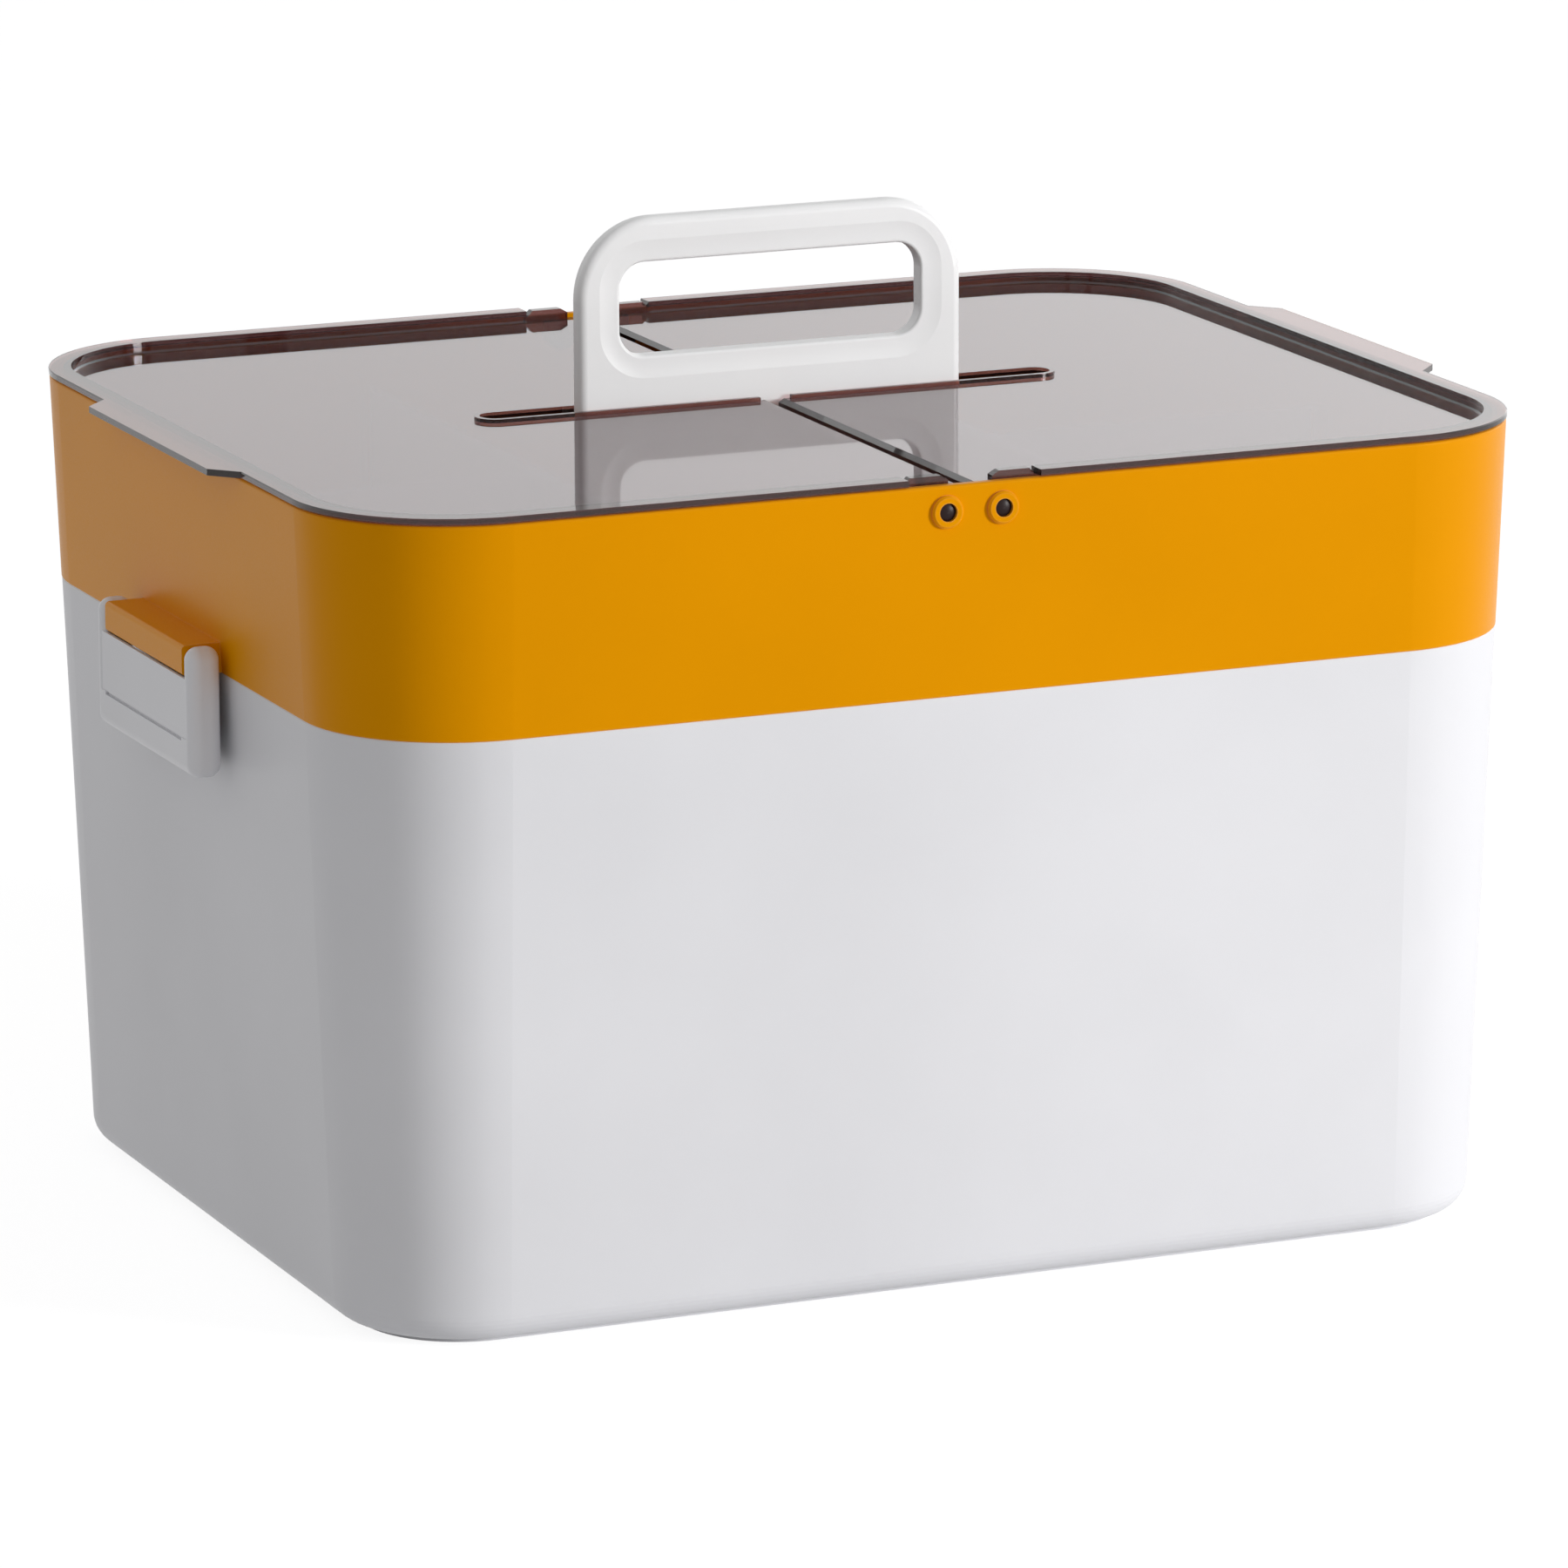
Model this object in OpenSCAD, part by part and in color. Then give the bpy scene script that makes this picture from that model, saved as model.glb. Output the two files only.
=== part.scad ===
// Medicine box: a deep bin, a lift-off tray with two smoked lids, an upright handle and two end latches.
// Millimetres. The origin is the middle of the base, +Z is up and the front faces -Y.

/* [Overall] */
// Length of the lids' outer edge, end to end
box_l = 330; // [280:1:400]
// Width of the lids' outer edge, front to back
box_w = 262.5; // [220:0.5:320]
// Corner radius of the lids' outer edge
corner_r = 42; // [30:0.5:50]

/* [Lower bin] */
// Height of the bin, up to its seam with the tray
bin_h = 156.5; // [110:0.1:210]
// How far each bin wall leans in from the seam to the base
bin_lean = 5.7; // [2:0.1:8]
// Thickness of the bin walls
bin_wall = 2.4; // [1.8:0.1:3.2]
// Thickness of the bin floor
bin_floor = 2.6; // [2:0.1:4]
// Height of the foot ring under the bin
foot_h = 1.2; // [0.6:0.1:2.4]
// Width of the foot ring
foot_w = 5; // [3:0.5:8]
// How far the foot ring is set in from the rounding of the bin's lower edge
foot_inset = 0.5; // [0.3:0.1:3]
// Rounding of the bin's lower edge
bin_edge = 7.5; // [4:0.1:11]

/* [Upper tray] */
// Height of the tray wall, from the seam to its rim
tray_h = 54.3; // [45:0.1:80]
// How far each tray wall leans out from the seam to its rim
tray_lean = 2; // [0.4:0.1:3]
// Rounding of the tray's rim
rim_round = 0.7; // [0.3:0.1:1.1]
// Thickness of the tray walls
tray_wall = 2.3; // [1.8:0.1:3]
// Thickness of the tray floor
tray_floor = 2.2; // [1.8:0.1:3.5]
// Depth of the skirt that drops into the bin
skirt_h = 8; // [5:0.5:14]
// Thickness of the skirt
skirt_wall = 1.8; // [1.4:0.1:2.6]
// Gap between the skirt and the bin wall
skirt_gap = 0.4; // [0.3:0.05:0.8]

/* [Lids] */
// Gap between the two lids at the split
split_gap = 2.4; // [2:0.1:4]
// Thickness of the lid flange that covers the tray rim
flange_t = 1.7; // [1.3:0.1:2.4]
// Width of the lid flange
flange_w = 6; // [5.4:0.1:8]
// Depth of the lid panel below the flange
recess = 3; // [2.4:0.1:4.5]
// Thickness of the lid panel and of the wall round it
lid_wall = 2; // [1.6:0.1:2.4]
// Gap between the lid flange and the tray rim
lid_gap = 0.3; // [0.2:0.05:0.6]
// How far the lid edge overhangs the tray rim
lid_overhang = 0.25; // [0.1:0.05:0.8]
// Half the length of the lift tab where it joins the flange
tab_base = 52; // [40:1:70]
// Reach of the lift tab beyond the lid edge
tab_reach = 6.3; // [4:0.1:8]
// Largest opening angle of a lid, in degrees
lid_open = 60; // [50:1:75]

/* [Lid hinges] */
// Distance of each hinge axis from the middle of the box
hinge_x = 7.6; // [7.2:0.1:9]
// Depth of the hinge axis below the tray rim
hinge_drop = 6.7; // [6:0.1:9]
// Diameter of a hinge pin
pin_d = 4.7; // [3.6:0.1:5.4]
// Diameter of the round boss outside the tray wall
boss_d = 8.4; // [7.6:0.1:10]
// How far the boss stands out from the tray wall
boss_out = 1.3; // [0.8:0.1:2]
// Distance of a hinge block's inner end from the middle of the box
block_near = 6; // [5:0.1:6.4]
// Distance of a hinge block's outer end from the middle of the box
block_far = 18; // [15:0.1:24]

/* [Handle] */
// Overall height of the box, to the top of the handle
total_h = 260; // [245:0.5:320]
// Half the width of the handle
handle_half = 54; // [50:0.5:60]
// Thickness of the handle
handle_t = 6; // [5:0.1:7]
// Radius of the handle's corners
handle_r = 21; // [10:0.5:26]
// Rounding of the handle's edges
handle_edge = 2.2; // [0.6:0.1:2.6]
// Half the width of the hand hole
grip_half = 42.5; // [36:0.5:45]
// Height of the hand hole
grip_h = 24.6; // [20:0.1:28]
// Thickness of the bar over the hand hole
grip_bar = 11.7; // [8:0.1:15]
// Radius of the hand hole's corners
grip_r = 7; // [4:0.5:9]
// Rounding of the hand hole's edges
grip_edge = 0.8; // [0.4:0.1:1.2]
// Width of the dished band round the hand hole
band_w = 5; // [2:0.1:6]
// Depth of the dished band round the hand hole
band_d = 0.4; // [0.2:0.05:1]

/* [Handle slot] */
// Gap between the handle and the slot on each side
slot_gap = 1.25; // [0.8:0.05:2]
// Half the length of the slot
slot_half = 80.5; // [72:0.5:90]
// Thickness of the raised lip round the slot
lip_t = 1.35; // [1:0.05:2]
// Height of the raised lip
lip_h = 1; // [0.6:0.1:2]
// Distance of the lip's ends from the middle of the box
lip_end = 4.4; // [3.6:0.1:6]
// Height of the socket that holds the handle's foot
socket_h = 24; // [14:1:30]
// Wall of the socket
socket_wall = 2.2; // [1.6:0.1:3]
// Gap round the handle in its socket
socket_gap = 0.15; // [0.1:0.05:0.4]
// Distance of each handle screw from the middle
screw_x = 27; // [15:1:34]
// Diameter of a handle screw
screw_d = 3; // [2.5:0.1:3.4]
// Length of a handle screw under its head
screw_l = 16; // [10:1:20]
// Diameter of a screw head
screw_head = 6.4; // [5:0.1:7.5]

/* [Dividers] */
// Distance of each long divider from the middle of the box
divider_x = 63; // [61:0.5:75]
// Height of the dividers
divider_h = 34; // [20:1:36]
// Thickness of the dividers
divider_t = 1.8; // [1.4:0.1:2.6]
// Gap between a divider and what guides it
divider_gap = 0.25; // [0.2:0.05:0.5]
// Width of a guide rib
guide_w = 1.6; // [1.2:0.1:2.4]
// Reach of a guide rib
guide_reach = 3; // [2:0.1:5]

/* [End latches] */
// Half the width of the ear that carries a latch
ear_half = 29.3; // [24:0.1:36]
// Reach of the ear beyond the tray wall
ear_reach = 10.7; // [9.8:0.1:13]
// Height of the ear's outer face
ear_h = 7.8; // [6.4:0.1:9]
// Depth of the latch axis below the ear's outer top edge
latch_drop = 3.2; // [2.8:0.1:3.8]
// Diameter of a latch pin
latch_pin_d = 2.4; // [1.8:0.1:2.8]
// Width of the bar at each side of a latch
bar_w = 6.9; // [5.5:0.1:7.5]
// Gap between the bars and the ear
bar_gap = 0.3; // [0.2:0.05:0.5]
// Thickness of the bars, measured out from the box
bar_t = 8.8; // [7.6:0.1:9.4]
// How far the bars stand out past the ear
bar_proud = 0.4; // [0.2:0.1:1]
// Height of a latch below the seam
latch_below = 25.5; // [20:0.5:34]
// Height of the thick rail along a latch's lower edge
rail_h = 10; // [7:0.5:14]
// Thickness of the latch plate
plate_t = 1.1; // [0.9:0.1:1.5]
// Reach of the catch rib on the bin wall
catch_reach = 2; // [1:0.1:2.6]

/* [Hidden] */
$fn = 96;

// Fits
fixed_fit = 0.01;
running_fit = 0.05;
seam_chamfer = 0.3;

// The corners of every shell share these centres
corner_x = box_l / 2 - corner_r;
corner_y = box_w / 2 - corner_r;

// Radii about the corner centres, and heights
rim_r = corner_r - lid_overhang;
seam_r = rim_r - tray_lean;
rim_z = bin_h + tray_h;
tray_floor_z = bin_h + tray_floor;
bin_floor_z = foot_h + bin_floor;
flange_z = rim_z + lid_gap;
lid_top = flange_z + flange_t;
panel_z = lid_top - recess;
panel_low = panel_z - lid_wall;
recess_r = corner_r - flange_w;
plug_r = recess_r + lid_wall;

// How deep the divider guides are rooted in the tray wall
guide_root = 0.75 * tray_wall;

// Hinges
hinge_z = rim_z - hinge_drop;
wall_in_y = corner_y + rim_r - tray_wall;
wall_out_y = corner_y + tray_r(hinge_z);
knuckle_r = pin_d / 2 + 2.1;
block_y = corner_y + tray_r(hinge_z - knuckle_r) - tray_wall - lid_gap;
block_in_y = corner_y + recess_r;
pin_out_y = wall_out_y + boss_out - 0.4;
pin_in_y = block_in_y + 0.6;
meet_gap = 0.25;
block_chamfer = 1.8;

// Handle
handle_foot = tray_floor_z;
grip_low = total_h - grip_bar - grip_h;
slot_r = handle_t / 2 + slot_gap;

// Latches
ear_x = corner_x + seam_r + ear_reach;
ear_low = bin_h + 0.3;
ear_top = ear_low + ear_h;
latch_x = ear_x - latch_drop + 0.2;
latch_z = ear_top - latch_drop;
latch_out = ear_x + bar_proud;
latch_in = latch_out - bar_t;
bar_x = (latch_out + latch_in) / 2;
bar_r = bar_w / 2;
latch_half = ear_half + bar_gap + bar_w;
latch_low = bin_h - latch_below;
latch_top = latch_z + bar_r;
plate_gap = 0.3;
plate_top = ear_low - plate_gap;
rail_z = latch_low + rail_h;
latch_pin_half = latch_half - 2;
catch_half = ear_half - 9;
catch_z = latch_low + 5;

// Radius of the bin's and the tray's outer faces at a height
function bin_r(z) = seam_r - bin_lean * (bin_h - z) / (bin_h - foot_h);
function tray_r(z) = seam_r + tray_lean * (z - bin_h) / tray_h;

// Height at which the open lid's face reaches the middle of the box, d outward from the hinge axis
function relief(d) = (hinge_x - meet_gap + d * cos(lid_open)) / sin(lid_open);

// A quarter round between two points on a profile: centre, radius, start angle, end angle
function arc(c, r, from, to, steps = 5) =
    [for (i = [0 : steps]) let (a = from + (to - from) * i / steps) [c[0] + r * cos(a), c[1] + r * sin(a)]];

// A block with round corners whose side is a profile of [distance out from the corner centres, height]
module drafted_box(cx, cy, side) {
    low = side[0][1];
    high = side[len(side) - 1][1];
    translate([cx, 0, 0]) rotate([90, 0, -90]) linear_extrude(2 * cx) both_sides(cy, side);
    translate([0, cy, 0]) rotate([90, 0, 0]) linear_extrude(2 * cy) both_sides(cx, side);
    for (x = [-cx, cx], y = [-cy, cy])
        translate([x, y, 0]) rotate_extrude() polygon(concat([[0, low]], side, [[0, high]]));
}

module both_sides(c, side) {
    polygon(concat([for (p = side) [c + p[0], p[1]]],
        [for (i = [len(side) - 1 : -1 : 0]) [-c - side[i][0], side[i][1]]]));
}

// The shells all use the same corner centres
module shell_block(side) {
    drafted_box(corner_x, corner_y, side);
}

module box_at(low, high) {
    translate(low) cube(high - low);
}

// A profile drawn in X and Z, extruded from y = -half to y = half
module across(half) {
    translate([0, half, 0]) rotate([90, 0, 0]) linear_extrude(2 * half) children();
}

module along_y(x, z, y_low, y_high, r) {
    translate([x, y_low, z]) rotate([-90, 0, 0]) cylinder(h = y_high - y_low, r = r);
}

module at_both_walls() {
    children();
    mirror([0, 1, 0]) children();
}

module at_both_ends() {
    children();
    mirror([1, 0, 0]) children();
}

// Flat shape with round ends, long in X
module slot_plan(half, r) {
    square([2 * (half - r), 2 * r], center = true);
    for (x = [-1, 1]) translate([x * (half - r), 0]) circle(r);
}

module lower_bin() {
    edge_z = foot_h + bin_edge;
    ring_r = bin_r(edge_z) - bin_edge - foot_inset;
    floor_round = bin_edge - bin_wall + 0.5;
    round_z = bin_floor_z + floor_round;
    inner_r = bin_r(round_z) - bin_wall;
    steps = 9;
    color("white") {
        difference() {
            shell_block(concat([[ring_r, 0], [ring_r, foot_h]],
                arc([bin_r(edge_z) - bin_edge, edge_z], bin_edge, -90, 0, steps),
                [[seam_r - seam_chamfer / 2, bin_h - seam_chamfer], [seam_r - seam_chamfer, bin_h]]));
            shell_block(concat(
                arc([inner_r - floor_round, round_z], floor_round, -90, 0, steps),
                [[seam_r - bin_wall, bin_h], [seam_r - bin_wall, bin_h + 1]]));
            shell_block([[ring_r - foot_w, -1], [ring_r - foot_w, foot_h]]);
        }
        at_both_ends() bin_catch();
    }
}

// The rib on the bin's end wall that a latch closes over
module bin_catch() {
    out = corner_x + bin_r(catch_z) + catch_reach;
    across(catch_half) polygon([[out - catch_reach - 1, catch_z - 1.6], [out, catch_z],
        [out, catch_z + 1.6], [out - catch_reach - 0.6, catch_z + 3]]);
}

module upper_tray() {
    skirt_top = bin_r(bin_h) - bin_wall - skirt_gap;
    skirt_low = bin_r(bin_h - skirt_h) - bin_wall - skirt_gap;
    floor_r = tray_r(tray_floor_z) - tray_wall;
    color("orange") difference() {
        union() {
            difference() {
                shell_block(concat([[seam_r - seam_chamfer, bin_h], [seam_r, bin_h + seam_chamfer]],
                    arc([rim_r - rim_round, rim_z - rim_round], rim_round, 0, 90)));
                shell_block([[floor_r - 1, tray_floor_z], [floor_r, tray_floor_z + 1],
                    [rim_r - tray_wall, rim_z], [rim_r - tray_wall, rim_z + 1]]);
            }
            difference() {
                shell_block([[skirt_low - 0.5, bin_h - skirt_h], [skirt_low, bin_h - skirt_h + 1],
                    [skirt_top, bin_h], [skirt_top, bin_h + 1]]);
                shell_block([[skirt_low - skirt_wall, bin_h - skirt_h - 1], [skirt_top - skirt_wall, bin_h]]);
            }
            at_both_walls() at_both_ends() {
                hinge_boss();
                wall_guides();
            }
            at_both_ends() {
                latch_ear();
                end_guides();
            }
            handle_socket();
        }
        at_both_walls() at_both_ends()
            along_y(-hinge_x, hinge_z, -wall_out_y - boss_out - 1, -wall_in_y + 3, pin_d / 2 + fixed_fit);
        at_both_ends() {
            along_y(-latch_x, latch_z, -ear_half - 1, ear_half + 1, latch_pin_d / 2 + fixed_fit);
            translate([-screw_x, 0, bin_h - 1]) cylinder(h = tray_floor + 2, r = screw_d / 2 + fixed_fit);
        }
    }
}

module hinge_boss() {
    edge = 0.5;
    wall_mid = -(wall_out_y + wall_in_y) / 2;
    face = -wall_out_y - boss_out;
    translate([-hinge_x, face, hinge_z]) rotate([-90, 0, 0]) {
        cylinder(h = edge, r1 = boss_d / 2 - edge, r2 = boss_d / 2);
        translate([0, 0, edge]) cylinder(h = wall_mid - face - edge, r = boss_d / 2);
    }
}

// The ear outside the tray wall that carries a latch
module latch_ear() {
    root_x = corner_x + seam_r - tray_wall / 2;
    top_round = 1.2;
    under_round = 1;
    across(ear_half) polygon(concat([[-root_x, ear_low]],
        arc([-ear_x + under_round, ear_low + under_round], under_round, -90, -180),
        arc([-ear_x + top_round, ear_top - top_round], top_round, 180, 90), [[-root_x, ear_top]]));
}

// A pair of upright ribs on the front wall for the end of a long divider
module wall_guides() {
    half = divider_t / 2 + divider_gap;
    low_y = corner_y + tray_r(tray_floor_z) - tray_wall;
    for (x = [-divider_x - half - guide_w, -divider_x + half])
        box_at([x, -low_y - guide_root, tray_floor_z - 1],
            [x + guide_w, -low_y + guide_reach, tray_floor_z + divider_h]);
}

// A pair of upright ribs on the end wall for the end of a cross divider
module end_guides() {
    half = divider_t / 2 + divider_gap;
    low_x = corner_x + tray_r(tray_floor_z) - tray_wall;
    for (y = [-half - guide_w, half])
        box_at([-low_x - guide_root, y, tray_floor_z - 1],
            [-low_x + guide_reach, y + guide_w, tray_floor_z + divider_h]);
}

module handle_socket() {
    in_x = handle_half + socket_gap;
    in_y = handle_t / 2 + socket_gap;
    difference() {
        box_at([-in_x - socket_wall, -in_y - socket_wall, tray_floor_z - 1],
            [in_x + socket_wall, in_y + socket_wall, tray_floor_z + socket_h]);
        box_at([-in_x, -in_y, tray_floor_z], [in_x, in_y, tray_floor_z + socket_h + 1]);
    }
}

module left_lid() {
    color("dimgray") lid_half();
}

module right_lid() {
    color("dimgray") mirror([1, 0, 0]) lid_half();
}

// The lid on the -X side of the split
module lid_half() {
    soft = 0.3;
    lip_r = slot_r + lip_t;
    swing = 2 * hinge_x;
    difference() {
        union() {
            difference() {
                union() {
                    shell_block([[corner_r - soft, flange_z], [corner_r, flange_z + soft],
                        [corner_r, lid_top - soft], [corner_r - soft, lid_top]]);
                    shell_block([[plug_r - soft, panel_low], [plug_r, panel_low + soft],
                        [plug_r, flange_z + soft]]);
                    lift_tab();
                }
                shell_block([[recess_r - 0.5, panel_z], [recess_r, panel_z + 0.5], [recess_r, lid_top + 1]]);
                at_both_walls() box_at([-block_far, -box_w / 2 - 1, panel_z],
                    [block_far, -corner_y - recess_r + 2 * soft, lid_top + 1]);
            }
            translate([0, 0, panel_low]) linear_extrude(lid_wall + lip_h) slot_plan(slot_half + lip_t, lip_r);
            at_both_walls() hinge_block();
        }
        translate([0, 0, panel_low - 1]) linear_extrude(lid_wall + lip_h + 2) slot_plan(slot_half, slot_r);
        box_at([-lip_end, -lip_r - 1, panel_z], [lip_end, lip_r + 1, lid_top + 1]);
        box_at([-split_gap / 2, -box_w, 0], [box_l, box_w, total_h]);
        across(box_w) translate([-hinge_x, hinge_z])
            polygon([[hinge_x, relief(-hinge_x)], [-swing, relief(swing)],
                [-swing, 3 * swing], [hinge_x, 3 * swing]]);
        at_both_walls()
            along_y(-hinge_x, hinge_z, -box_w / 2, -corner_y, pin_d / 2 + running_fit);
    }
}

// The finger tab on the lid's outer end
module lift_tab() {
    tip = tab_base - tab_reach - 0.7;
    edge = box_l / 2;
    translate([0, 0, flange_z]) linear_extrude(flange_t)
        polygon([[-edge + 3, -tab_base], [-edge, -tab_base], [-edge - tab_reach, -tip],
            [-edge - tab_reach, tip], [-edge, tab_base], [-edge + 3, tab_base]]);
}

// The block that stands inside the tray wall and turns on a hinge pin
module hinge_block() {
    translate([0, -block_in_y, 0]) rotate([90, 0, 0]) linear_extrude(block_y - block_in_y) {
        translate([-hinge_x, hinge_z]) circle(knuckle_r);
        translate([-hinge_x - knuckle_r, hinge_z])
            square([hinge_x + knuckle_r - block_near, panel_z - hinge_z]);
        polygon([[-block_far, panel_low], [-block_far, lid_top - block_chamfer],
            [-block_far + block_chamfer, lid_top], [-block_near, lid_top], [-block_near, panel_low]]);
    }
}

module handle() {
    mid_z = (handle_foot + total_h) / 2;
    color("whitesmoke") difference() {
        translate([0, 0, mid_z]) rotate([90, 0, 0])
            round_plate(handle_half - handle_r, (total_h - handle_foot) / 2 - handle_r) handle_side();
        translate([0, 0, grip_low + grip_h / 2]) rotate([90, 0, 0])
            round_plate(grip_half - grip_r, grip_h / 2 - grip_r) grip_side();
        for (x = [-screw_x, screw_x])
            translate([x, 0, handle_foot - 1])
                cylinder(h = screw_l - tray_floor + 2, r = screw_d / 2 + fixed_fit);
    }
}

// A plate with round corners whose side is a 2D shape: X out from the corner centres, Y through the plate
module round_plate(cx, cy) {
    translate([cx, 0, 0]) rotate([90, 0, -90]) linear_extrude(2 * cx) plate_section(cy) children();
    translate([0, cy, 0]) rotate([90, 0, 0]) linear_extrude(2 * cy) plate_section(cx) children();
    for (x = [-cx, cx], y = [-cy, cy]) translate([x, y, 0]) rotate_extrude() children();
}

module plate_section(c) {
    translate([c, 0]) children();
    mirror([1, 0]) translate([c, 0]) children();
    square([2 * c, handle_t], center = true);
}

module handle_side() {
    edge_y = handle_t / 2 - handle_edge;
    translate([0, -edge_y]) square([handle_r, 2 * edge_y]);
    translate([0, -handle_t / 2]) square([handle_r - handle_edge, handle_t]);
    for (y = [-1, 1]) translate([handle_r - handle_edge, y * edge_y]) circle(handle_edge);
}

// The hand hole: straight in the middle, rounded at its edges, with a shallow dish round them
module grip_side() {
    dish_x = grip_r + grip_edge;
    dish_y = handle_t / 2 - band_d;
    dish_r = (band_w * band_w + band_d * band_d) / (2 * band_d);
    translate([0, -handle_t / 2]) square([grip_r, handle_t]);
    for (side = [0, 1]) mirror([0, side]) {
        difference() {
            translate([0, dish_y - grip_edge]) square([dish_x, grip_edge]);
            translate([dish_x, dish_y - grip_edge]) circle(grip_edge);
        }
        intersection() {
            translate([dish_x, dish_y + dish_r]) circle(dish_r);
            translate([0, dish_y - 0.1]) square([dish_x + band_w + 1, band_d + 0.3]);
        }
        translate([0, dish_y]) square([dish_x, band_d + 0.2]);
    }
}

module handle_screws() {
    head_h = 2.2;
    cross_w = 0.9;
    cross_l = 0.62 * screw_head;
    color("silver") for (x = [-screw_x, screw_x]) translate([x, 0, bin_h]) {
        cylinder(h = screw_l, r = screw_d / 2);
        difference() {
            translate([0, 0, -head_h]) cylinder(h = head_h, r1 = 0.82 * screw_head / 2, r2 = screw_head / 2);
            for (a = [0, 90]) rotate([0, 0, a]) box_at([-cross_l / 2, -cross_w / 2, -head_h - 1],
                [cross_l / 2, cross_w / 2, -head_h / 2]);
        }
    }
}

// side is -1 for the left lid and 1 for the right, wall is -1 for the front and 1 for the back
module hinge_pin(side, wall) {
    dome_r = 1.2 * pin_d;
    color("black") translate([side * hinge_x, wall * pin_out_y, hinge_z]) rotate([wall * 90, 0, 0])
        intersection() {
            cylinder(h = pin_out_y - pin_in_y, r = pin_d / 2);
            translate([0, 0, dome_r]) sphere(dome_r);
        }
}

module front_left_hinge_pin() {
    hinge_pin(-1, -1);
}

module front_right_hinge_pin() {
    hinge_pin(1, -1);
}

module back_left_hinge_pin() {
    hinge_pin(-1, 1);
}

module back_right_hinge_pin() {
    hinge_pin(1, 1);
}

module left_latch() {
    color("white") latch();
}

module right_latch() {
    color("white") mirror([1, 0, 0]) latch();
}

// The latch on the -X end: two bars joined by a plate and a rail
module latch() {
    window = ear_half + bar_gap;
    bar_y = latch_half - bar_r;
    groove_h = 0.9;
    groove_d = 0.8;
    groove_half = window - 0.5;
    plate_step = 0.2;
    rail_wall = 1.6;
    shelf = 2;
    difference() {
        union() {
            for (y = [-bar_y, bar_y]) translate([-bar_x, y, 0]) latch_bar();
            across(bar_y) rail_side();
            box_at([-latch_out + plate_step, -bar_y, rail_z - 1], [-latch_out + plate_t, bar_y, plate_top]);
            latch_nub();
        }
        box_at([-latch_out + rail_wall, -window, latch_low + shelf], [-latch_in + 1, window, rail_z - shelf]);
        box_at([-latch_out - 1, -groove_half, rail_z - groove_h],
            [-latch_out + groove_d, groove_half, rail_z]);
        along_y(-latch_x, latch_z, -latch_pin_half - 0.5, latch_pin_half + 0.5,
            latch_pin_d / 2 + running_fit);
    }
}

// An upright bar with round ends, deeper than it is wide
module latch_bar() {
    half = bar_t / 2 - bar_r;
    for (x = [-half, half]) translate([x, 0, 0]) rotate_extrude() intersection() {
        translate([0, latch_low]) square([bar_r, latch_top - latch_low]);
        bar_end();
    }
    translate([-half, 0, 0]) rotate([90, 0, 90]) linear_extrude(2 * half) bar_end();
}

// The bar seen from the end of the box
module bar_end() {
    for (z = [latch_low + bar_r, latch_top - bar_r]) translate([0, z]) circle(bar_r);
    translate([-bar_r, latch_low + bar_r]) square([bar_w, latch_top - latch_low - bar_w]);
}

// The rail seen from the front of the box, with its lower edges as round as the bars' ends
module rail_side() {
    for (x = [-latch_out + bar_r, -latch_in - bar_r]) translate([x, latch_low + bar_r]) circle(bar_r);
    translate([-latch_out, latch_low + bar_r]) square([bar_t, rail_h - bar_r]);
    translate([-latch_out + bar_r, latch_low]) square([bar_t - bar_w, bar_w]);
}

// The nub that closes against the bin's catch
module latch_nub() {
    tip = corner_x + bin_r(catch_z) + catch_reach + lid_gap;
    root = -latch_in - bar_r;
    low = latch_low + 0.6;
    high = low + 1.4;
    across(catch_half)
        polygon([[root, low], [-tip - 0.6, low], [-tip, low + 0.6], [-tip, high], [root, high]]);
}

module left_latch_pin() {
    latch_pin(-1);
}

module right_latch_pin() {
    latch_pin(1);
}

module latch_pin(side) {
    color("silver") along_y(side * latch_x, latch_z, -latch_pin_half, latch_pin_half, latch_pin_d / 2);
}

module left_long_divider() {
    color("whitesmoke") long_divider();
}

module right_long_divider() {
    color("whitesmoke") mirror([1, 0, 0]) long_divider();
}

// A divider from the front wall to the back wall, with guides for the cross divider
module long_divider() {
    half = corner_y + tray_r(tray_floor_z) - tray_wall - divider_gap;
    foot = 1.5;
    guide = divider_t / 2 + divider_gap;
    translate([-divider_x - divider_t / 2, 0, tray_floor_z]) rotate([90, 0, 90]) linear_extrude(divider_t)
        polygon([[-half + foot, 0], [half - foot, 0], [half, foot], [half, divider_h],
            [-half, divider_h], [-half, foot]]);
    for (y = [-guide - guide_w, guide])
        box_at([-divider_x - divider_t / 2 - guide_reach, y, tray_floor_z],
            [-divider_x, y + guide_w, tray_floor_z + divider_h]);
}

module left_cross_divider() {
    color("whitesmoke") cross_divider();
}

module right_cross_divider() {
    color("whitesmoke") mirror([1, 0, 0]) cross_divider();
}

// A divider from a long divider to the end wall
module cross_divider() {
    near = divider_x + divider_t / 2 + divider_gap;
    far = corner_x + tray_r(tray_floor_z) - tray_wall - divider_gap;
    foot = 1.5;
    across(divider_t / 2) translate([0, tray_floor_z])
        polygon([[-near, 0], [-far + foot, 0], [-far, foot], [-far, divider_h], [-near, divider_h]]);
}

lower_bin();
upper_tray();
left_lid();
right_lid();
handle();
handle_screws();
front_left_hinge_pin();
front_right_hinge_pin();
back_left_hinge_pin();
back_right_hinge_pin();
left_latch();
right_latch();
left_latch_pin();
right_latch_pin();
left_long_divider();
right_long_divider();
left_cross_divider();
right_cross_divider();
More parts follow.
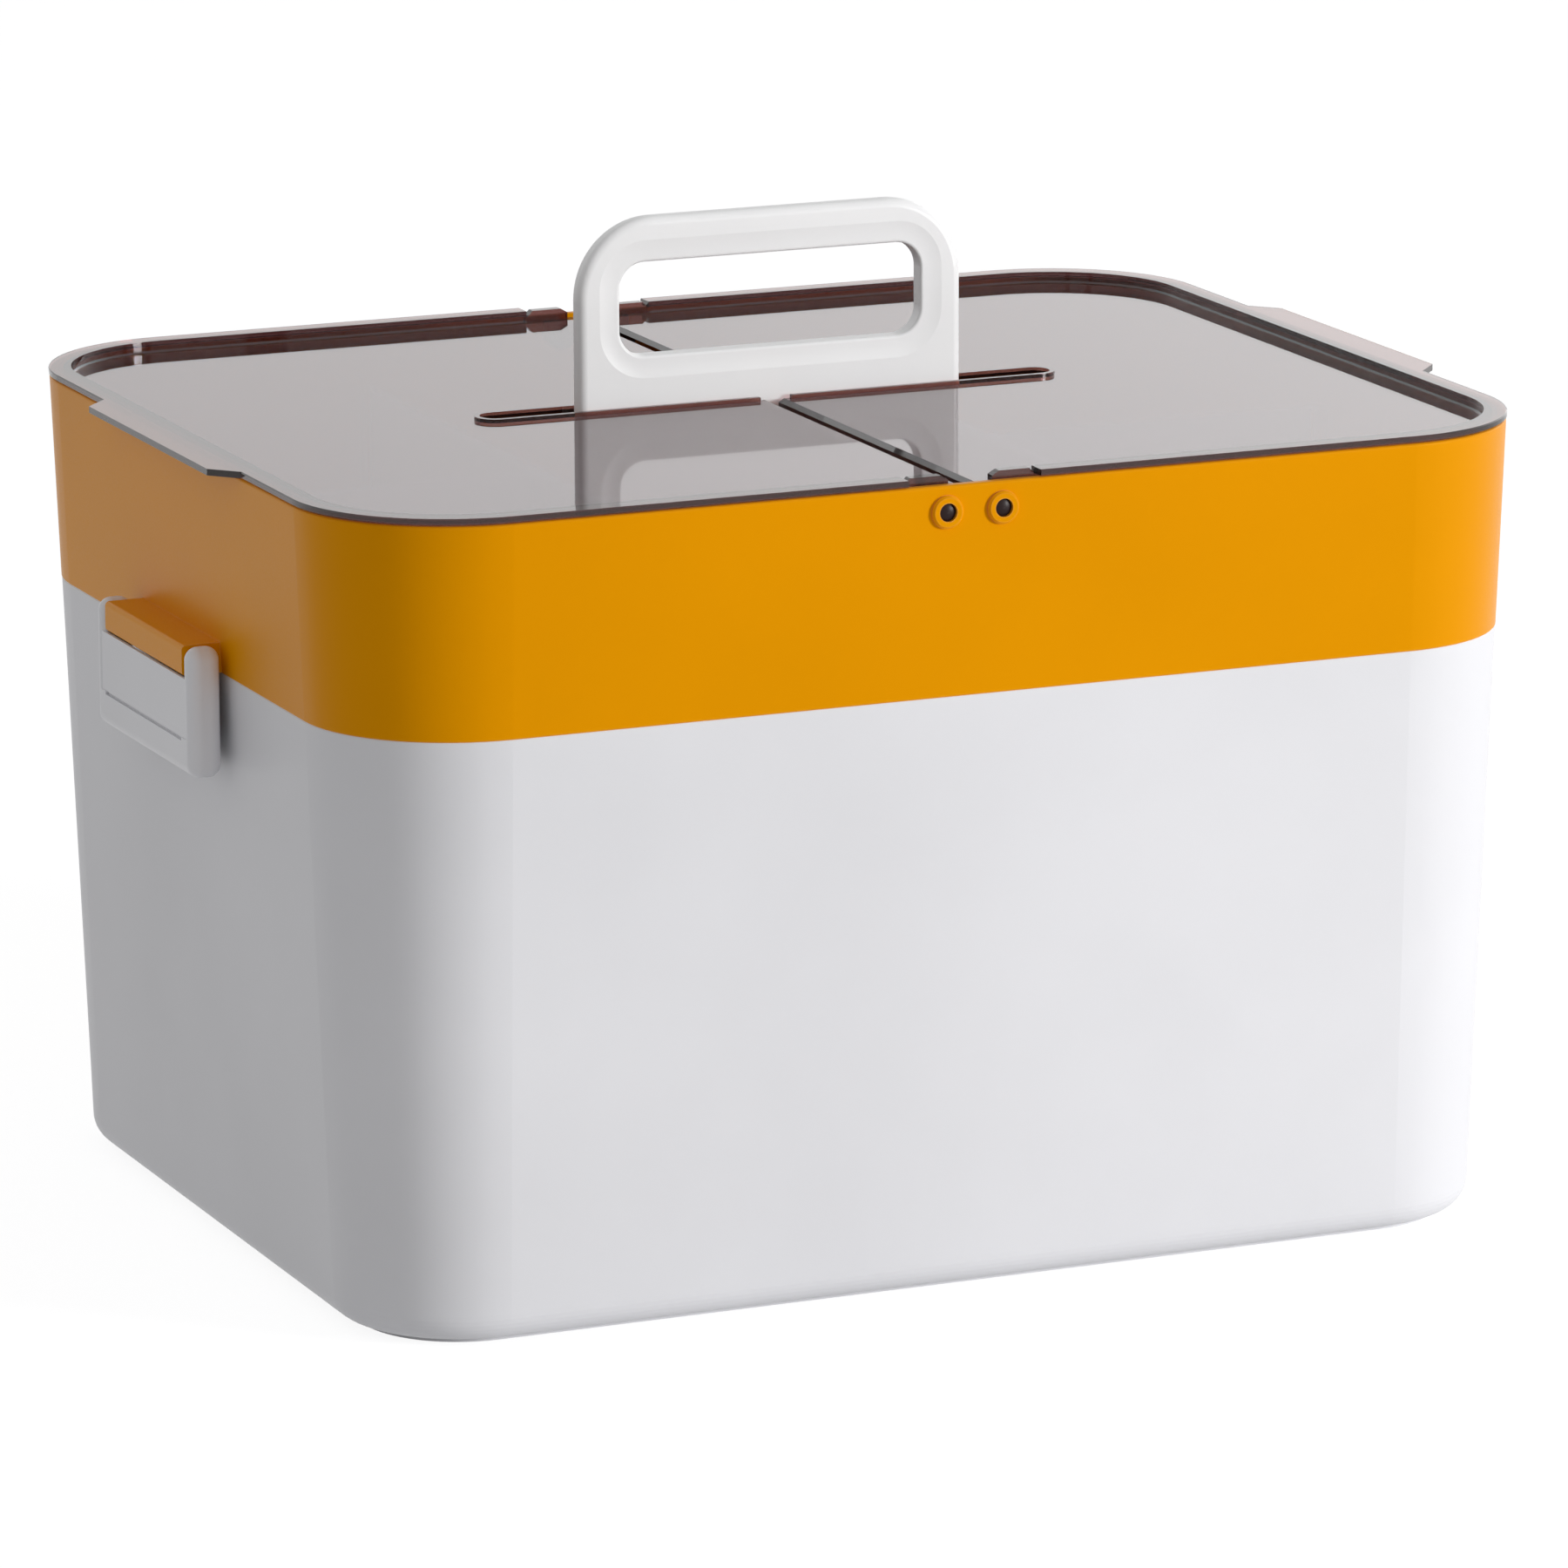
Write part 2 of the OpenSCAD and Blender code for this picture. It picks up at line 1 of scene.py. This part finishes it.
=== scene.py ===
# %% [markdown]
# # A tiered medicine box
#
# The box is a white bin, an orange tray that closes it, two smoked lids, an upright white handle and a
# latch on each end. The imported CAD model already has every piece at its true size, so this lesson is about
# finish: moulded satin plastic, glossy smoked plastic, small pins and screws, and the light on them all.
# The frame is loaded first. Everything in it is in metres, with +Z up and the front facing -Y.

# %% Load the fixed frame
import math

import bpy
from mathutils import Matrix, Vector

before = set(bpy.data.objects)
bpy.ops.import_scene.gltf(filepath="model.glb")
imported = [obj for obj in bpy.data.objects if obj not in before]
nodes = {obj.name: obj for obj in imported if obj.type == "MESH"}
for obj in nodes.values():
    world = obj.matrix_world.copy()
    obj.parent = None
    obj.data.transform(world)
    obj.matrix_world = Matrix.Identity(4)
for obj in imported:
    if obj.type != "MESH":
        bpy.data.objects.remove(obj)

scene = bpy.context.scene
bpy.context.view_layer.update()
MM = 0.001

# %% [markdown]
# ## The camera
#
# The picture was taken with a long lens, from a little above the lids and from the left of the front face.
# A long lens keeps the box's upright edges nearly parallel. The camera is placed by direction and distance
# from a point near mid height, which is easier to adjust than three coordinates.

# %% Place the camera at the photograph's viewing angle
PHOTO_SIZE = 1800
FOCAL_PX = 10578
SENSOR = 36.0
AZIMUTH = math.radians(-23.16)
ELEVATION = math.radians(13.28)
ROLL = math.radians(0.21)
DISTANCE = 2.427
AIM = Vector((0, 0, 0.1115))
AIM_RIGHT = -3.85 * MM
AIM_UP = 5.51 * MM

back = Vector((math.sin(AZIMUTH) * math.cos(ELEVATION), -math.cos(AZIMUTH) * math.cos(ELEVATION),
               math.sin(ELEVATION)))
level_right = Vector((math.cos(AZIMUTH), math.sin(AZIMUTH), 0))
level_up = back.cross(level_right)
right = math.cos(ROLL) * level_right - math.sin(ROLL) * level_up
up = math.sin(ROLL) * level_right + math.cos(ROLL) * level_up

lens = bpy.data.cameras.new("studio_camera")
lens.sensor_width = SENSOR
lens.lens = FOCAL_PX * SENSOR / PHOTO_SIZE
lens.clip_end = 60
camera = bpy.data.objects.new("studio_camera", lens)
place = AIM - AIM_RIGHT * right - AIM_UP * up + DISTANCE * back
camera.matrix_world = Matrix.Translation(place) @ Matrix((right, up, back)).transposed().to_4x4()
scene.collection.objects.link(camera)
scene.camera = camera
print("camera at", [round(v, 3) for v in place], "lens", round(lens.lens, 1))

# %% [markdown]
# ## Small helpers for materials
#
# Every material here is built from nodes, so a few helpers save a lot of typing: they make a node with its
# settings, a piece of arithmetic, a node group with named sockets, an empty material, and a colour from its
# screen values. Object coordinates are used throughout. They are metres on the real piece, stay with it
# when it moves, and need no UV map.

# %% Helpers: nodes, materials and groups
MIX_FIRST = 6
MIX_SECOND = 7
MIX_RESULT = 2


def node(tree, kind, inputs=None, **settings):
    made = tree.nodes.new("ShaderNode" + kind)
    for name, value in settings.items():
        setattr(made, name, value)
    for name, value in (inputs or {}).items():
        socket = made.inputs[name]
        if isinstance(value, bpy.types.NodeSocket):
            tree.links.new(value, socket)
        else:
            socket.default_value = value
    return made


def math_node(tree, operation, *values):
    made = tree.nodes.new("ShaderNodeMath")
    made.operation = operation
    for socket, value in zip(made.inputs, values):
        if isinstance(value, bpy.types.NodeSocket):
            tree.links.new(value, socket)
        else:
            socket.default_value = value
    return made.outputs[0]


def new_group(name, inputs, outputs):
    tree = bpy.data.node_groups.new(name, "ShaderNodeTree")
    for socket_name, socket_type, value in inputs:
        socket = tree.interface.new_socket(socket_name, in_out="INPUT", socket_type=socket_type)
        socket.default_value = value
    for socket_name, socket_type in outputs:
        tree.interface.new_socket(socket_name, in_out="OUTPUT", socket_type=socket_type)
    return tree, tree.nodes.new("NodeGroupInput").outputs, tree.nodes.new("NodeGroupOutput").inputs


def new_material(name):
    material = bpy.data.materials.new(name)
    material.use_nodes = True
    tree = material.node_tree
    tree.nodes.clear()
    output = tree.nodes.new("ShaderNodeOutputMaterial")
    return material, tree, output


def place_group(tree, group, **values):
    made = tree.nodes.new("ShaderNodeGroup")
    made.node_tree = group
    for name, value in values.items():
        made.inputs[name.replace("_", " ")].default_value = value
    return made.outputs


def srgb(r, g, b):
    def linear(v):
        v = v / 255
        return v / 12.92 if v <= 0.04045 else ((v + 0.055) / 1.055) ** 2.4
    return (linear(r), linear(g), linear(b), 1)


print("helpers ready")

# %% [markdown]
# ## The studio
#
# White plastic on white paper needs light at a plain level: a surface then renders about as pale as it is,
# and its shaded side stays readable. One large lamp stands well to the right of the front, as the bright
# right corner of the box shows. The world fills the rest. To the camera, to reflections and through clear
# plastic the world is white, and whiter towards the back on the right, where a studio would have its lit
# screen. On dull surfaces the world is dimmer, so the left end falls into soft shade.

# %% World and lamp
FILL = 0.43
SCREEN_WHITE = 1.12
SCREEN_GAIN = 0.95
SCREEN_AZIMUTH = math.radians(60)
SCREEN_RISE = 0.15
SCREEN_EDGE = 0.74
SCREEN_TOWARDS = Vector((math.sin(SCREEN_AZIMUTH), math.cos(SCREEN_AZIMUTH), SCREEN_RISE)).normalized()
KEY_AT = Vector((1.37, -1.52, 0.42))
KEY_SIZE = 0.5
KEY_POWER = 26

world = bpy.data.worlds.new("studio_world")
world.use_nodes = True
scene.world = world
world_tree = world.node_tree
world_tree.nodes.clear()
world_path = node(world_tree, "LightPath").outputs
looking = node(world_tree, "TexCoord").outputs["Generated"]
towards = node(world_tree, "VectorMath", {0: looking, 1: SCREEN_TOWARDS}, operation="DOT_PRODUCT")
screen = node(world_tree, "MapRange", {"Value": towards.outputs["Value"], "From Min": SCREEN_EDGE,
                                       "From Max": 1.0, "To Min": SCREEN_WHITE,
                                       "To Max": SCREEN_WHITE + SCREEN_GAIN},
              interpolation_type="SMOOTHSTEP")
bent = math_node(world_tree, "MAXIMUM", world_path["Is Glossy Ray"], world_path["Is Transmission Ray"])
seen = math_node(world_tree, "MAXIMUM", world_path["Is Camera Ray"], bent)
above_fill = math_node(world_tree, "SUBTRACT", screen.outputs[0], FILL)
level = math_node(world_tree, "ADD", math_node(world_tree, "MULTIPLY", seen, above_fill), FILL)
paper_white = node(world_tree, "Background", {"Color": (1, 1, 1, 1), "Strength": level})
world_out = world_tree.nodes.new("ShaderNodeOutputWorld")
world_tree.links.new(paper_white.outputs[0], world_out.inputs["Surface"])


def soft_lamp(name, at, size, power):
    lamp = bpy.data.lights.new(name, "AREA")
    lamp.shape = "DISK"
    lamp.size = size
    lamp.energy = power
    made = bpy.data.objects.new(name, lamp)
    made.location = at
    made.rotation_euler = (AIM - at).to_track_quat("-Z", "Y").to_euler()
    scene.collection.objects.link(made)


soft_lamp("key_lamp", KEY_AT, KEY_SIZE, KEY_POWER)
scene.view_settings.view_transform = "Standard"
print("lamp and world ready")

# %% [markdown]
# ## The floor
#
# The floor is one big sheet. Two thirds of what the camera sees of it is its own glow, so it reads as white
# paper. The rest is real light, so the box still throws a soft shadow on it.

# %% Floor
FLOOR_HALF = 14.0
FLOOR_GLOW = 0.66
FLOOR_WHITE = 1.33
FLOOR_PAPER = (0.82, 0.82, 0.83, 1)

floor_mesh = bpy.data.meshes.new("floor")
corners = [(-FLOOR_HALF, -FLOOR_HALF, 0), (FLOOR_HALF, -FLOOR_HALF, 0),
           (FLOOR_HALF, FLOOR_HALF, 0), (-FLOOR_HALF, FLOOR_HALF, 0)]
floor_mesh.from_pydata(corners, [], [(0, 1, 2, 3)])
floor = bpy.data.objects.new("floor", floor_mesh)
scene.collection.objects.link(floor)

paper, paper_tree, paper_out = new_material("paper_floor")
paper_path = node(paper_tree, "LightPath").outputs
paper_seen = math_node(paper_tree, "MAXIMUM", paper_path["Is Camera Ray"],
                       math_node(paper_tree, "MAXIMUM", paper_path["Is Glossy Ray"],
                                 paper_path["Is Transmission Ray"]))
paper_dull = node(paper_tree, "BsdfDiffuse", {"Color": FLOOR_PAPER})
paper_glow = node(paper_tree, "Emission", {"Color": (1, 1, 1, 1), "Strength": FLOOR_WHITE})
paper_mix = node(paper_tree, "MixShader", {0: math_node(paper_tree, "MULTIPLY", paper_seen, FLOOR_GLOW)})
paper_tree.links.new(paper_dull.outputs[0], paper_mix.inputs[1])
paper_tree.links.new(paper_glow.outputs[0], paper_mix.inputs[2])
paper_tree.links.new(paper_mix.outputs[0], paper_out.inputs["Surface"])
floor_mesh.materials.append(paper)
print("floor", 2 * FLOOR_HALF, "m square")

# %% [markdown]
# ## What moulded plastic looks like close up
#
# Injection-moulded plastic is never quite even. The tool is spark-eroded or blasted, which leaves a fine
# grain. The melt cools unevenly, which leaves broad, faint changes of tone and shallow waves in the wall.
# Every edge also gets a painted highlight, a paler line that stands in for the light its rounding would
# catch. Two node groups hold these effects. They are built once and used in each plastic with its own
# numbers.

# %% Group: grain and waves of a moulded wall
NOISE_LOW = 0.3
NOISE_HIGH = 0.7
CLOUDS_PER_METRE = 9.0

moulded, m_in, m_out = new_group(
    "moulded_wall",
    [("Grain Size", "NodeSocketFloat", 0.0005), ("Grain Depth", "NodeSocketFloat", 0.00001),
     ("Wave Size", "NodeSocketFloat", 0.06), ("Wave Depth", "NodeSocketFloat", 0.00005)],
    [("Height", "NodeSocketFloat"), ("Grain", "NodeSocketFloat"), ("Cloud", "NodeSocketFloat")])
m_place = node(moulded, "TexCoord").outputs["Object"]
m_grain = node(moulded, "TexNoise", {"Vector": m_place, "Detail": 2.0, "Roughness": 0.55,
                                     "Scale": math_node(moulded, "DIVIDE", 1.0, m_in["Grain Size"])})
m_wave = node(moulded, "TexNoise", {"Vector": m_place, "Detail": 1.0, "Roughness": 0.4,
                                    "Scale": math_node(moulded, "DIVIDE", 1.0, m_in["Wave Size"])})
m_cloud = node(moulded, "TexNoise", {"Vector": m_place, "Detail": 3.0, "Roughness": 0.5,
                                     "Scale": CLOUDS_PER_METRE})
m_fine = math_node(moulded, "MULTIPLY", m_grain.outputs[0], m_in["Grain Depth"])
m_broad = math_node(moulded, "MULTIPLY", m_wave.outputs[0], m_in["Wave Depth"])
moulded.links.new(math_node(moulded, "ADD", m_fine, m_broad), m_out["Height"])
moulded.links.new(m_grain.outputs[0], m_out["Grain"])
moulded.links.new(m_cloud.outputs[0], m_out["Cloud"])
print("group moulded_wall ready")

# %% [markdown]
# The edge mask compares the true surface direction with a rounded-off one. On a flat wall the two agree, and
# near an edge they part, so one minus their dot product is a soft line along every edge. That line is
# painted as a highlight. A patchy noise breaks it up, so the painted highlight is uneven.

# %% Group: painted highlight along edges
EDGE_GAIN = 5.0
PATCHES_PER_METRE = 160.0
LEAST_HIGHLIGHT = 0.35

edge_highlight_group, w_in, w_out = new_group(
    "painted_edge_highlight",
    [("Width", "NodeSocketFloat", 0.0008), ("Amount", "NodeSocketFloat", 1.0)],
    [("Edge", "NodeSocketFloat")])
w_round = node(edge_highlight_group, "Bevel", {"Radius": w_in["Width"]}, samples=4)
w_true = node(edge_highlight_group, "NewGeometry").outputs["Normal"]
w_both = node(edge_highlight_group, "VectorMath", {0: w_round.outputs[0], 1: w_true}, operation="DOT_PRODUCT")
w_dot = w_both.outputs["Value"]
w_part = math_node(edge_highlight_group, "MULTIPLY", math_node(edge_highlight_group, "SUBTRACT", 1.0, w_dot), EDGE_GAIN)
w_patch = node(edge_highlight_group, "TexNoise", {"Vector": node(edge_highlight_group, "TexCoord").outputs["Object"],
                                  "Scale": PATCHES_PER_METRE, "Detail": 3.0})
w_broken = math_node(edge_highlight_group, "MULTIPLY", w_part, math_node(edge_highlight_group, "ADD", w_patch.outputs[0], LEAST_HIGHLIGHT))
w_amount = math_node(edge_highlight_group, "MULTIPLY", w_broken, w_in["Amount"])
w_clamped = node(edge_highlight_group, "Clamp", {"Value": w_amount})
edge_highlight_group.links.new(w_clamped.outputs[0], w_out["Edge"])
print("group painted_edge_highlight ready")

# %% [markdown]
# ## Satin moulded plastic
#
# The bin, tray, handle, latches and dividers are all the same kind of finish in different colours, so one
# function makes them. The tone drifts by up to three parts in a hundred, the roughness follows the grain,
# and every edge gets a painted highlight that mixes the colour a little towards white.

# %% Function: satin plastic in a given colour
HIGHLIGHT_TOWARDS_WHITE = 0.35


def satin_plastic(name, colour, roughness, grain_size=0.45 * MM, grain_depth=0.006 * MM, wave_size=0.07,
                  wave_depth=0.03 * MM, drift=0.03, edge_highlight_amount=0.25, specular=0.5, gloss_tint=(1, 1, 1, 1)):
    material, tree, output = new_material(name)
    wall = place_group(tree, moulded, Grain_Size=grain_size, Grain_Depth=grain_depth, Wave_Size=wave_size,
                       Wave_Depth=wave_depth)
    # Painted highlight: the edge mask lightens the colour along every edge.
    edge = place_group(tree, edge_highlight_group, Width=0.6 * MM, Amount=edge_highlight_amount)["Edge"]
    darker = tuple(channel * (1 - drift) for channel in colour[:3]) + (1,)
    paler = tuple(min(1, channel * (1 + drift)) for channel in colour[:3]) + (1,)
    tone = node(tree, "ValToRGB", {"Fac": wall["Cloud"]})
    tone.color_ramp.elements[0].position = 0.35
    tone.color_ramp.elements[0].color = darker
    tone.color_ramp.elements[1].position = 0.65
    tone.color_ramp.elements[1].color = paler
    # The colour of the painted edge highlight, part way to white.
    highlight_colour = tuple(channel + HIGHLIGHT_TOWARDS_WHITE * (1 - channel) for channel in colour[:3]) + (1,)
    base = node(tree, "Mix", data_type="RGBA")
    tree.links.new(edge, base.inputs["Factor"])
    tree.links.new(tone.outputs[0], base.inputs[MIX_FIRST])
    base.inputs[MIX_SECOND].default_value = highlight_colour
    rough = node(tree, "MapRange", {"Value": wall["Grain"], "From Min": NOISE_LOW, "From Max": NOISE_HIGH,
                                    "To Min": roughness - 0.04, "To Max": roughness + 0.05})
    bump = node(tree, "Bump", {"Height": wall["Height"], "Strength": 0.8, "Distance": 1.0})
    surface = node(tree, "BsdfPrincipled", {"Base Color": base.outputs[MIX_RESULT],
                                            "Roughness": rough.outputs[0], "Normal": bump.outputs[0],
                                            "Specular IOR Level": specular, "Specular Tint": gloss_tint})
    tree.links.new(surface.outputs[0], output.inputs["Surface"])
    return material


print("satin_plastic ready")

# %% [markdown]
# The whites differ a little, because the handle in the picture is whiter than the bin. The tray's gloss is
# tinted, so that its shine stays orange.

# %% Bin, tray, handle, latch and divider plastics
finish = {
    "lower_bin": satin_plastic("white_bin_plastic", srgb(228, 228, 231), 0.42, specular=0.25),
    "upper_tray": satin_plastic("orange_tray_plastic", srgb(228, 149, 0), 0.36, edge_highlight_amount=0.12,
                                specular=0.12, gloss_tint=srgb(255, 190, 40)),
    "handle": satin_plastic("white_handle_plastic", srgb(252, 252, 253), 0.36, wave_depth=0.015 * MM,
                            specular=0.4),
    "left_latch": satin_plastic("white_latch_plastic", srgb(228, 228, 231), 0.38, wave_depth=0.01 * MM,
                                specular=0.3),
    "left_long_divider": satin_plastic("white_divider_plastic", srgb(226, 227, 229), 0.45),
}
finish["right_latch"] = finish["left_latch"]
for name in ("right_long_divider", "left_cross_divider", "right_cross_divider"):
    finish[name] = finish["left_long_divider"]
print("satin plastics:", len(set(finish.values())))

# %% [markdown]
# ## Smoked clear plastic
#
# The lids are clear plastic with a brown-grey dye. Seen at a low angle they act as mirrors: a third of what
# reaches the eye is the white studio, and the handle stands reflected in the panel. The rest is the dim
# inside of the tray. The edges look black, because there the light has gone through many millimetres of
# dye. So the dye is a true absorbing volume, set by what a wall of two millimetres lets through. Light that
# falls through to the tray would need a great many rays, so shadow rays get a tinted, clear pass instead.

# %% Group: faces that stand upright
WALL_BELOW = 0.6
FLAT_ABOVE = 0.95

upright, _, u_out = new_group("upright_faces", [], [("Upright", "NodeSocketFloat")])
u_normal = node(upright, "SeparateXYZ", {0: node(upright, "TexCoord").outputs["Normal"]})
u_level = math_node(upright, "ABSOLUTE", u_normal.outputs["Z"])
u_slope = node(upright, "MapRange", {"Value": u_level, "From Min": WALL_BELOW, "From Max": FLAT_ABOVE,
                                     "To Min": 1.0, "To Max": 0.0})
upright.links.new(u_slope.outputs[0], u_out["Upright"])
print("group upright_faces ready")

# %% [markdown]
# The lids' walls are seen edge on, through far more dye than the panel, and in the picture the flange's top
# is dark as well. Both get a darker tint, the walls because they stand upright and the flange by its height.
# On the walls this tint adds painted shade to what the dye volume already darkens. On the flange's top it is
# painted shade only.
# They still come out paler than in the picture, because they mirror the white studio.

# %% Smoked plastic for the lids
PANEL_THICK = 2 * MM
# Pass colour for the walls and the flange top: part dye, part painted shade.
DYE_AND_PAINTED_SHADE_PASSES = (0.42, 0.20, 0.15, 1)
PANEL_PASSES = (0.50, 0.41, 0.45)
SHADOW_PASSES = (0.93, 0.89, 0.88, 1)
RIM_DEPTH = 1.0 * MM
RIM_FULL = 0.5 * MM
LID_TOP = max(point.co.z for point in nodes["left_lid"].data.vertices)


def smoked_plastic(name):
    material, tree, output = new_material(name)
    wall = place_group(tree, moulded, Grain_Size=2.5 * MM, Grain_Depth=0.0, Wave_Size=0.05,
                       Wave_Depth=0.006 * MM)
    bump = node(tree, "Bump", {"Height": wall["Height"], "Strength": 0.5, "Distance": 1.0})
    rough = node(tree, "MapRange", {"Value": wall["Cloud"], "From Min": NOISE_LOW, "From Max": NOISE_HIGH,
                                    "To Min": 0.02, "To Max": 0.05})
    height = node(tree, "SeparateXYZ", {0: node(tree, "TexCoord").outputs["Object"]}).outputs["Z"]
    # Painted shade: the flange's top, found by its height, and the upright walls take the darker pass
    # colour.
    flange_painted_shade = node(tree, "MapRange", {"Value": height, "From Min": LID_TOP - RIM_DEPTH,
                                  "From Max": LID_TOP - RIM_FULL})
    through = node(tree, "Mix", data_type="RGBA")
    dark = math_node(tree, "MAXIMUM", place_group(tree, upright)["Upright"], flange_painted_shade.outputs[0])
    tree.links.new(dark, through.inputs["Factor"])
    through.inputs[MIX_FIRST].default_value = (1, 1, 1, 1)
    through.inputs[MIX_SECOND].default_value = DYE_AND_PAINTED_SHADE_PASSES
    surface = node(tree, "BsdfPrincipled", {
        "Base Color": through.outputs[MIX_RESULT], "Roughness": rough.outputs[0], "IOR": 1.5,
        "Transmission Weight": 0.97, "Normal": bump.outputs[0]})
    light_pass = node(tree, "BsdfTransparent", {"Color": SHADOW_PASSES})
    shadow = node(tree, "LightPath").outputs["Is Shadow Ray"]
    mixed = node(tree, "MixShader", {0: shadow})
    tree.links.new(surface.outputs[0], mixed.inputs[1])
    tree.links.new(light_pass.outputs[0], mixed.inputs[2])
    tree.links.new(mixed.outputs[0], output.inputs["Surface"])
    taken = [-math.log(share) / PANEL_THICK for share in PANEL_PASSES]
    density = max(taken)
    dye = node(tree, "VolumeAbsorption", {"Color": tuple(1 - t / density for t in taken) + (1,),
                                          "Density": density})
    tree.links.new(dye.outputs[0], output.inputs["Volume"])
    return material


finish["left_lid"] = finish["right_lid"] = smoked_plastic("smoked_lid_plastic")
print("smoked plastic ready")

# %% [markdown]
# ## Pins and screws
#
# The latch pins and the handle's screws are steel, ground or plated, with fine lines from the machine. The
# picture shows the ends of the lids' hinge pins nearly black, so these are dark plastic of the satin kind.

# %% Pins and screws
LINES_PER_METRE = 900.0


def ground_steel(name, colour, roughness):
    material, tree, output = new_material(name)
    lines = node(tree, "TexNoise", {"Vector": node(tree, "TexCoord").outputs["Object"],
                                    "Scale": LINES_PER_METRE, "Detail": 2.0})
    rough = node(tree, "MapRange", {"Value": lines.outputs[0], "To Min": roughness - 0.06,
                                    "To Max": roughness + 0.1})
    bump = node(tree, "Bump", {"Height": lines.outputs[0], "Strength": 0.15, "Distance": 0.02 * MM})
    surface = node(tree, "BsdfPrincipled", {"Base Color": colour, "Metallic": 1.0,
                                            "Roughness": rough.outputs[0], "Normal": bump.outputs[0]})
    tree.links.new(surface.outputs[0], output.inputs["Surface"])
    return material


pin_steel = ground_steel("ground_pin_steel", srgb(196, 197, 200), 0.28)
finish["left_latch_pin"] = finish["right_latch_pin"] = pin_steel
finish["handle_screws"] = ground_steel("plated_screw_steel", srgb(190, 190, 184), 0.34)
dark_pin = satin_plastic("dark_pin_plastic", srgb(38, 25, 25), 0.35, grain_depth=0.0, edge_highlight_amount=0.05,
                         specular=0.15)
for side in ("left", "right"):
    for wall_name in ("front", "back"):
        finish[f"{wall_name}_{side}_hinge_pin"] = dark_pin
print("finishes for", len(finish), "nodes")

# %% [markdown]
# ## Dressing the CAD pieces
#
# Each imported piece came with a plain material. It is swapped for its finish. The shapes aren't touched.

# %% Give each piece its finish
for name, piece in nodes.items():
    piece.data.materials.clear()
    piece.data.materials.append(finish[name])
print("dressed:", ", ".join(sorted(nodes)))
